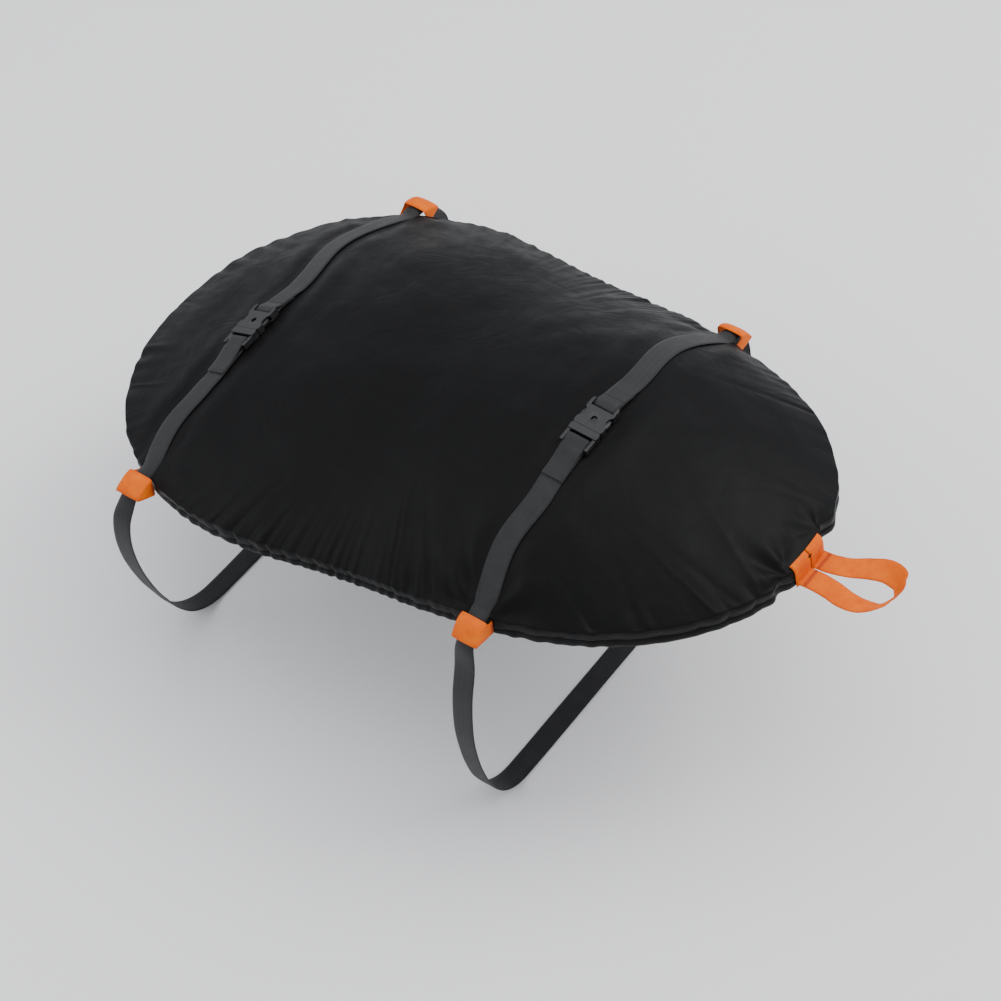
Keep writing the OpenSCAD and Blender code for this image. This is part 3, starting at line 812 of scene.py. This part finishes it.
def build_strap(which):
    sx, sy = STRAPS[which]
    hull = curve(route(which), 8)
    s = along(hull)
    e = edge_y(sx)
    # long piece: from inside the starboard keeper, under the hull, port edge, over the cover to the socket
    frm = hull[s > SPLIT - 0.4]
    port = np.array([[-p[0], p[1]] for p in hull[:-1][::-1]])
    under = np.concatenate([frm, port])
    edges = []
    for sd in (-1, 1):
        u = np.concatenate([np.full((len(under), 1), sx + sd*WEB_W/2), under], 1)
        o = np.array(over_pts(which, sd*WEB_W/2, e - 6, sy + 80, 26, BOW[which][0]) + lead_pts(which, sd, 1))
        edges.append(np.concatenate([u, o]))
    L_total = along(under)
    port_keep = along(under)[-1] - 16.5
    G, q = ribbon_from_edges(edges[0], edges[1], [(-2, 26), (port_keep, 26)], 0.24, cup_dir=-1.0, seed=3 if which == "front" else 5)
    v, f, uv = strip(G, WEB_T)
    uv[:, 0] = uv[:, 0]
    ob = make(which + "_webbing_long", v, f, M_BLACK, uv=uv)
    fix_normals(ob); ob.data.shade_smooth()
    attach(ob, "cover"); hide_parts(which + "_strap")
    # run from the keeper up to the plug
    near = hull[s <= SPLIT + 0.4][::-1]
    edges = []
    for sd in (-1, 1):
        u = np.concatenate([np.full((len(near), 1), sx + sd*WEB_W/2), near], 1)
        o = np.array(over_pts(which, sd*WEB_W/2, -e + 6, sy - 80, 26, BOW[which][1]) + lead_pts(which, sd, -1))
        edges.append(np.concatenate([u, o]))
    G, q = ribbon_from_edges(edges[0], edges[1], [(2, 26)], 0.24, cup_dir=1.0, seed=8 if which == "front" else 9)
    v, f, uv = strip(G, WEB_T)
    ob2 = make(which + "_webbing_run", v, f, M_BLACK, uv=uv)
    fix_normals(ob2); ob2.data.shade_smooth()
    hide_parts(which + "_strap_run")
    b = BK[which]
    end = b.at([0, -66, 0])/1000
    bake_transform(ob2)
    return ob, ob2


def local_ribbon(which, pts, name, body, node, width=WEB_W, t=WEB_T, step=0.9):
    """Webbing bent in the buckle's own side plane: pts are (along, up)."""
    b = BK[which]
    p = resample(curve(pts, 6), step)
    p[1:-1] = (p[:-2] + 2*p[1:-1] + p[2:])/4
    G = np.zeros((len(p), len(ACROSS), 3))
    for j, w in enumerate(ACROSS):
        G[:, j] = b.at(np.stack([np.full(len(p), w*width/2), p[:, 0], p[:, 1]], -1))
    v, f, uv = strip(G, t)
    ob = make(name, v, f, M_BLACK, uv=uv)
    fix_normals(ob); ob.data.shade_smooth()
    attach(ob, body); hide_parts(node)
    return ob


def build_buckle_webbing(which):
    b = BK[which]
    m = b.lead_w(1, 66)
    local_ribbon(which, [(48, 2.0), (43, 4.1), (37.4, 6.4), (33, 6.55), (30.8, 6.4), (29.7, 5), (29.6, 3.4), (29.7, 1.7), (30.9, 0.55), (34, 0.5), (37.2, 0.5), (48, 0.3), (66, m - 1.65)],
                 which + "_webbing_fold", "cover", which + "_strap_fold")
    b44, c62 = b.lead_w(-1, 44), b.lead_w(-1, 62)
    local_ribbon(which, [(-44, b44), (-34, (b44 + 0.3)/2 + 0.1), (-24, 0.3), (-15, 0.3), (-12.4, 0.9), (-11.2, 2.8), (-11, 4.8), (-11.7, 6.4), (-13.2, 7.4), (-15, 7.6),
                         (-19, 6.8), (-24, 5.6), (-30, 4.5), (-44, b44 + 1.85), (-62, c62 + 1.85)],
                 which + "_webbing_tail", which + "_plug", which + "_strap_tail", t=1.5)
    # sewn box on the fold, and a folded-over tail end
    items = []
    for v in np.arange(50, 64, 2.6):
        for u in (-10, 10):
            w = b.lead_w(1, v + 1) + WEB_T/2
            c = b.at([u, v + 1, w + 0.05])
            items.append((c, b.at([u, v + 2, b.lead_w(1, v + 2)]) - b.at([u, v, b.lead_w(1, v)]), b.ez, 2.2, 0.3))
    for v in (50, 63.5):
        for u in np.arange(-9, 9.5, 2.6):
            w = b.lead_w(1, v) + WEB_T/2
            items.append((b.at([u, v, w + 0.05]), b.ex, b.ez, 2.2, 0.3))
    stitch_mesh(which + "_fold_stitching", items, M_THREAD_B, "cover")
    items = []
    for v in (-60.2, -57.6):
        for u in np.arange(-10, 10.5, 2.5):
            w = b.lead_w(-1, -v) + 1.85 + 0.75
            items.append((b.at([u, v, w + 0.05]), b.ex, b.ez, 2.1, 0.28))
    stitch_mesh(which + "_tail_stitching", items, M_THREAD_B, which + "_plug")


for w in STRAPS:
    build_strap(w)
    build_buckle_webbing(w)

# ------------------------------------------------------------------ keeper loops
def build_keeper(which, side):
    sx, _ = STRAPS[which]
    name = "keeper_%s_%s" % (which, "right" if side < 0 else "left")
    hull = curve(route(which), 8)
    s = along(hull)
    L = 27.0
    m = 13
    q = np.linspace(3, 3 + L, m)
    C = np.stack([np.interp(q, s, hull[:, k]) for k in range(2)], 1)
    t = np.gradient(C, axis=0); t /= np.linalg.norm(t, axis=1, keepdims=True)
    N = np.stack([t[:, 1], -t[:, 0]], 1)     # outward side of the route
    if N[0, 1] < 0:
        N = -N
    e_f, e_a = edge_y(sx + 14.5), edge_y(sx - 14.5)
    z_f, z_a = edge_z(sx + 14.5), edge_z(sx - 14.5)
    grid = []
    for j in range(m):
        k = j/(m - 1)
        zdrop = -3 - 19*k
        o = WEB_T/2 + 0.5 + LOOP_T/2
        arch = 1.3*math.sin(math.pi*k)*0.4
        pts = [
            np.array([sx + 13.4, -(e_f - 0.5), z_f + zdrop]),
            np.array([sx + 14.3, -(e_f + 3.0), z_f + zdrop*0.96]),
            np.array([sx + 14.8, *(C[j] + N[j]*(-1.2))]),
            np.array([sx + 14.0, *(C[j] + N[j]*(o - 0.4))]),
            np.array([sx + 9.0, *(C[j] + N[j]*(o + 0.55 + arch))]),
            np.array([sx, *(C[j] + N[j]*(o + 0.9 + arch))]),
            np.array([sx - 9.0, *(C[j] + N[j]*(o + 0.55 + arch))]),
            np.array([sx - 14.0, *(C[j] + N[j]*(o - 0.4))]),
            np.array([sx - 14.8, *(C[j] + N[j]*(-1.2))]),
            np.array([sx - 14.3, -(e_a + 3.0), z_a + zdrop*0.96]),
            np.array([sx - 13.4, -(e_a - 0.5), z_a + zdrop]),
        ]
        grid.append(curve(pts, 5))
    G = np.array(grid).transpose(1, 0, 2)
    if side > 0:
        G = G*np.array([1, -1, 1])
    v, f, uv = strip(G, LOOP_T)
    ob = make(name + "_loop", v, f, M_ORANGE, uv=uv)
    fix_normals(ob); ob.data.shade_smooth()
    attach(ob, "cover"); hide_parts(name)
    # bar tacks where the two ends meet the hem
    items = []
    for (xx, ee, zz) in ((sx + 14.2, e_f, z_f), (sx - 14.2, e_a, z_a)):
        for i in range(9):
            z = zz - 5 - i*1.8
            items.append((np.array([xx + (0.9 if xx > sx else -0.9), side*(ee + 2.4), z]), np.array([0, 1, 0]), np.array([1, 0, 0]), 4.2, 0.36))
    stitch_mesh(name + "_stitching", items, M_THREAD_O, "cover")
    return ob


for w in STRAPS:
    for sd in (-1, 1):
        build_keeper(w, sd)

# ------------------------------------------------------------------ pull loop
PX, PZ = 426.4, -18.0
REACH = 104
PULL = [[-0.75, -14, 0, 0], [14, -14.5, 0, 0], [32, -17.5, 2, 0.3], [50, -23, 5, 2], [69, -25, 15, 5], [86, -18.5, 38, 8], [REACH - 11, -7, 56, 10], [REACH - 8, 2, 60, 10.5],
        [REACH - 12, 11, 58, 10], [86, 20, 46, 8], [69, 26, 26, 5], [50, 23, 10, 2], [32, 16.5, 2, 0.3], [14, 12.6, 0, 0], [-0.75, 12, 0, 0]]


def build_pull():
    c = curve(PULL, 10)
    t = np.gradient(c[:, :2], axis=0)
    t[0] = c[1, :2] - c[0, :2]; t[-1] = c[-1, :2] - c[-2, :2]
    t /= np.linalg.norm(t, axis=1, keepdims=True)
    out = np.stack([t[:, 1], -t[:, 0]], 1)
    b = np.radians(c[:, 2])
    Wv = np.stack([out[:, 0]*np.cos(b), out[:, 1]*np.cos(b), np.sin(b)], 1)*12.5
    Cn = np.stack([PX + c[:, 0], c[:, 1], PZ + c[:, 3]], 1)
    G = np.stack([Cn + Wv*w for w in ACROSS], 1)
    # both roots reach back to the sewn ends, which curve with the hem
    root = ease((7 - c[:, 0])/7.75)[:, None]
    G[:, :, 0] -= root*(0.74 + G[:, :, 1]**2/450)
    v, f, uv = strip(level(G), LOOP_T)
    ob = make("pull_loop_webbing", v, f, M_ORANGE, uv=uv)
    fix_normals(ob); ob.data.shade_smooth()
    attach(ob, "pull_loop"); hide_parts("pull_loop")
    # bar tack across both strips near the base, moving with the loop
    items = []
    for y in np.arange(-25, 23.5, 1.25):
        if -2 < y + 0.4 < 0.6:
            continue
        for x in (5.0,):
            items.append((level([PX + x, y, PZ + LOOP_T/2 + 0.05]), level([1, 0, 0.0]), level([0, 0, 1]), 4.6, 0.42))
    stitch_mesh("pull_loop_stitching", items, M_THREAD_O, "pull_loop")
    # sewn ends: up the hem and the skirt and on to the dome
    path = [(PX - 2.3, PZ - 5.4), (PX - 2.2, PZ), (PX - 2.2, -9), (PX - 2.4, -4.5), (PX - 3.2, -0.9)]
    path += [(PX - 2.4 - d, float(dome(PX - 2.4 - d, 0)) + 0.95) for d in (2.5, 6)]
    path = curve(path, 4)
    for i, sy in enumerate((-14, 12)):
        G = np.zeros((len(path), len(ACROSS), 3))
        for j, w in enumerate(ACROSS):
            y = sy + w*12.5
            G[:, j, 0] = path[:, 0] - (y*y)/(2*180.0)*0.8
            G[:, j, 1] = y
            G[:, j, 2] = path[:, 1] - np.where(path[:, 1] > 0, 0.4*(y/26)**2, 0)
        v, f, uv = strip(level(G), 1.6)
        ob2 = make("pull_loop_end_%d" % (i + 1), v, f, M_ORANGE, uv=uv)
        fix_normals(ob2); ob2.data.shade_smooth()
        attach(ob2, "cover"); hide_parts("pull_loop_tabs")
    items = []
    for z in (-6.5, -19.5):
        for y in np.arange(-23.8, 21.5, 2.9):
            if -3.6 < y < 1.2:
                continue
            items.append((level([PX - 1.35 - (y + 1.0)**2/450, y + 1.0, z]), [0, 1, 0], level([1, 0, 0]), 2.3, 0.32))
    stitch_mesh("pull_loop_end_stitching", items, M_THREAD_O, "cover")
    return ob


build_pull()

# ------------------------------------------------------------------ buckles
for k in STRAPS:
    for n in ("socket", "plug"):
        o = NODES["%s_%s" % (k, n)]
        o.data.materials.clear()
        o.data.materials.append(M_PLASTIC)


def build_prong(which, sign):
    import bmesh
    b = BK[which]
    hw = 17.0
    poly = [(8, -5), (8.6, -6.4), (9.9, -6.5), (11, -5), (11.6, 2), (12.2, 8.2), (hw - 0.9, 9.2), (hw - 0.2, 11.5), (hw - 0.2, 17), (hw - 1.6, 20.5), (12.2, 22.6), (10.6, 22.6), (10, 20.4), (9.4, 10)]
    pts = [(sign*u, v) for u, v in poly]
    V = [b.at([u, v, 2.3]) for u, v in pts] + [b.at([u, v, 6.3]) for u, v in pts]
    n = len(pts)
    F = [list(range(n))[::-1], [n + i for i in range(n)]] + [[i, (i + 1) % n, n + (i + 1) % n, n + i] for i in range(n)]
    name = "%s_prong_%s" % (which, "fore" if sign > 0 else "aft")
    ob = make(name + "_arm", V, F, M_PLASTIC, smooth=False)
    fix_normals(ob)
    bm = bmesh.new(); bm.from_mesh(ob.data)
    bmesh.ops.bevel(bm, geom=bm.edges[:], offset=0.00035, segments=2, profile=0.6, affect="EDGES")
    bm.to_mesh(ob.data); bm.free()
    ob.data.shade_smooth()
    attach(ob, name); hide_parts(name)
    tuple(b.at([0, 0, 4.3])/1000)
    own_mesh(ob)
    return ob


for w in STRAPS:
    for sg in (1, -1):
        build_prong(w, sg)


# ------------------------------------------------------------------ stage, light, camera
def stage():
    me = bpy.data.meshes.new("floor")
    s = 9.0
    me.from_pydata([(-s, -s, 0), (s, -s, 0), (s, s, 0), (-s, s, 0)], [], [(0, 1, 2, 3)])
    ob = bpy.data.objects.new("floor", me)
    ob.location = (0, 0, FLOOR/1000 - 0.0004)
    bpy.context.scene.collection.objects.link(ob)
    m = bpy.data.materials.new("floor_paint")
    nt, b = nodes_of(m)
    b.inputs["Base Color"].default_value = (0.90, 0.90, 0.90, 1)
    b.inputs["Roughness"].default_value = 0.7
    b.inputs["Specular IOR Level"].default_value = 0.25
    me.materials.append(m)
    w = bpy.data.worlds.new("studio")
    bpy.context.scene.world = w
    w.use_nodes = True
    w.node_tree.nodes["Background"].inputs[0].default_value = (0.93, 0.95, 1.0, 1)
    w.node_tree.nodes["Background"].inputs[1].default_value = 0.92

    def area(name, loc, target, size, power, colour=(1, 1, 1)):
        l = bpy.data.lights.new(name, "AREA")
        l.shape = "RECTANGLE"
        l.size, l.size_y = size
        l.energy = power
        l.color = colour
        o = bpy.data.objects.new(name, l)
        o.location = loc
        o.rotation_euler = (Vector(target) - Vector(loc)).to_track_quat("-Z", "Y").to_euler()
        bpy.context.scene.collection.objects.link(o)

    area("key", (1.6, 1.9, 2.6), (0, 0, 0), (1.8, 1.8), 70)
    area("fill", (-2.4, -1.8, 2.0), (0, 0, 0), (2.4, 2.0), 34)
    area("top", (0.2, 0.3, 3.2), (0, 0, 0), (2.6, 2.6), 40)


stage()


def camera():
    az, el, roll = -0.589238, 0.867166, -0.065674
    fwd = np.array([math.sin(az)*math.cos(el), math.cos(az)*math.cos(el), -math.sin(el)])
    right = np.array([math.cos(az), -math.sin(az), 0])
    up = np.cross(right, fwd)
    r2 = math.cos(roll)*right + math.sin(roll)*up
    u2 = -math.sin(roll)*right + math.cos(roll)*up
    pos = level(np.array([1.4981, -1.4610, 1.9632]))
    r2, u2, fwd = level(r2), level(u2), level(fwd)
    px, py = 352.0, 440.0
    d = unit(fwd + (px - 500.5)/1000*r2 - (py - 500.5)/1000*u2)
    u3 = unit(u2 - d*(u2 @ d))
    r3 = np.cross(d, u3)
    cam = bpy.data.cameras.new("camera")
    cam.sensor_width = 36
    cam.lens = 36*2700/1001
    cam.clip_end = 50
    ob = bpy.data.objects.new("camera", cam)
    M = Matrix([[r3[0], u3[0], -d[0], pos[0]], [r3[1], u3[1], -d[1], pos[1]], [r3[2], u3[2], -d[2], pos[2]], [0, 0, 0, 1]])
    bpy.context.scene.collection.objects.link(ob)
    ob.matrix_world = M
    bpy.context.scene.camera = ob


camera()
